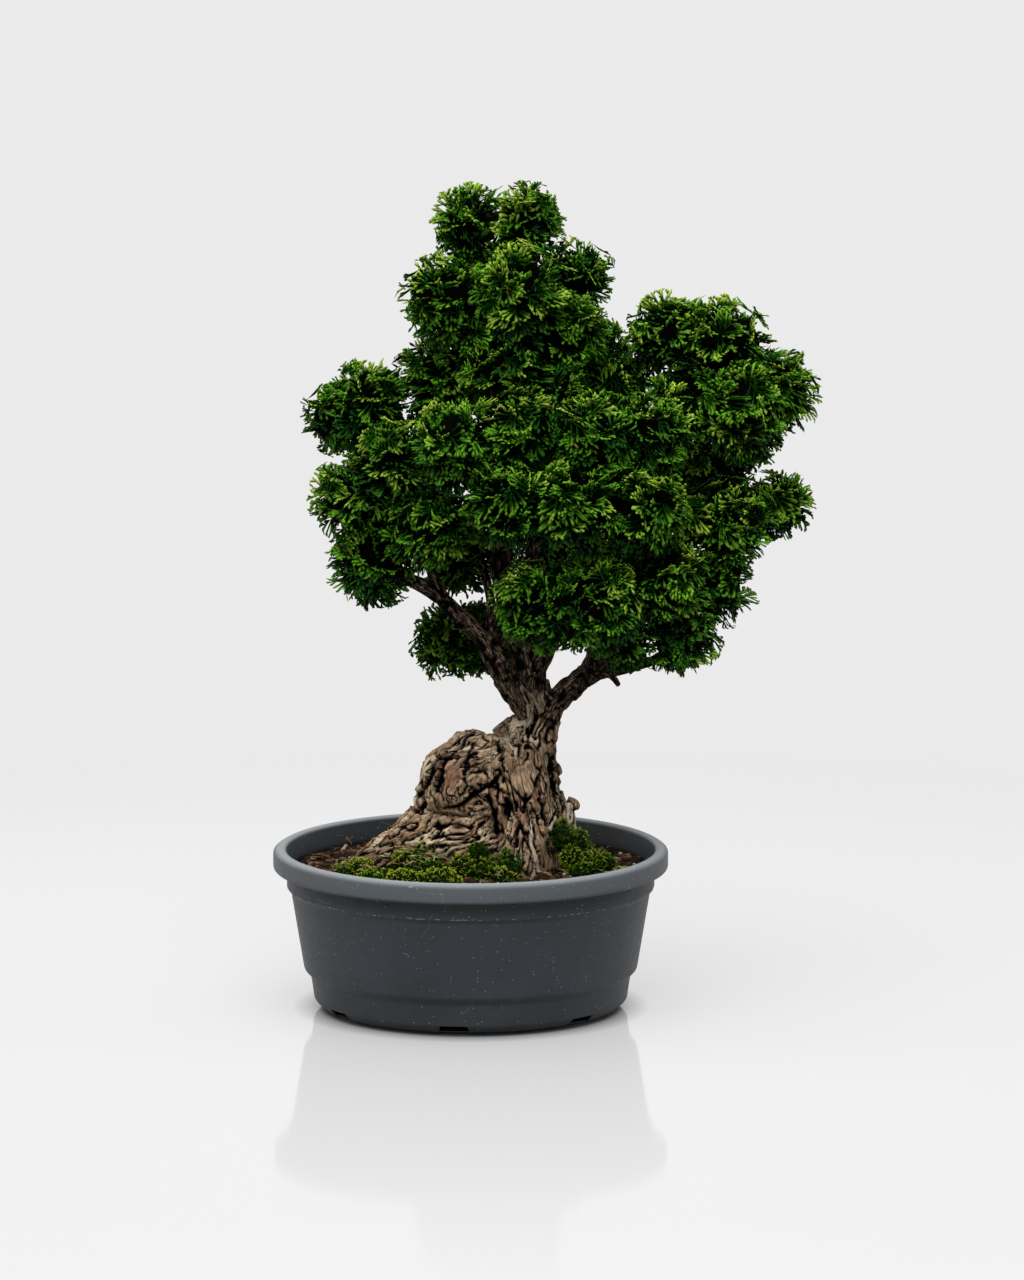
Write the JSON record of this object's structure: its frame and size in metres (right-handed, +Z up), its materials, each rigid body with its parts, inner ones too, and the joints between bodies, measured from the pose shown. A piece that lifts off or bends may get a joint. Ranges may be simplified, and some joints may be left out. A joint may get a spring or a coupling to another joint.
{
  "type": "hinoki cypress bonsai",
  "caption": "Mature hinoki cypress bonsai with a flared, burred trunk and dense rounded heads of scale foliage, growing in a round moulded training pot",
  "frame": {"origin": "centre of the pot's flat underside, on the surface that the pot stands on", "axes": "+Z up the tree, -Y towards the pictured front, +X to the right of that front"},
  "size_m": [0.3623, 0.26, 0.5514],
  "materials": {
    "pot": "matte",
    "soil": "matte",
    "wood": "matte",
    "moss": "matte",
    "foliage": "matte"
  },
  "bodies": {
    "root": {"foliage_apex_01": "foliage", "foliage_apex_02": "foliage", "foliage_apex_03": "foliage", "foliage_apex_04": "foliage", "foliage_apex_05": "foliage", "foliage_apex_06": "foliage", "foliage_apex_07": "foliage", "foliage_apex_08": "foliage", "foliage_apex_09": "foliage", "foliage_apex_10": "foliage", "foliage_apex_11": "foliage", "foliage_apex_12": "foliage", "foliage_back_01": "foliage", "foliage_back_02": "foliage", "foliage_back_03": "foliage", "foliage_back_04": "foliage", "foliage_back_05": "foliage", "foliage_back_06": "foliage", "foliage_front_01": "foliage", "foliage_front_02": "foliage", "foliage_front_03": "foliage", "foliage_front_04": "foliage", "foliage_front_05": "foliage", "foliage_front_06": "foliage", "foliage_front_07": "foliage", "foliage_front_08": "foliage", "foliage_left_01": "foliage", "foliage_left_02": "foliage", "foliage_left_03": "foliage", "foliage_left_04": "foliage", "foliage_left_05": "foliage", "foliage_left_06": "foliage", "foliage_left_07": "foliage", "foliage_low_01": "foliage", "foliage_low_02": "foliage", "foliage_low_03": "foliage", "foliage_low_04": "foliage", "foliage_low_05": "foliage", "foliage_low_06": "foliage", "foliage_outer_01": "foliage", "foliage_outer_02": "foliage", "foliage_outer_03": "foliage", "foliage_outer_04": "foliage", "foliage_right_01": "foliage", "foliage_right_02": "foliage", "foliage_right_03": "foliage", "foliage_right_04": "foliage", "foliage_right_05": "foliage", "foliage_right_06": "foliage", "foliage_right_07": "foliage", "foliage_under_01": "foliage", "foliage_under_02": "foliage", "moss_far_left": "moss", "moss_front": "moss", "moss_left": "moss", "moss_right": "moss", "moss_strip": "moss", "pot": "pot", "soil": "soil", "tree_wood": "wood"}
  },
  "joints": []
}
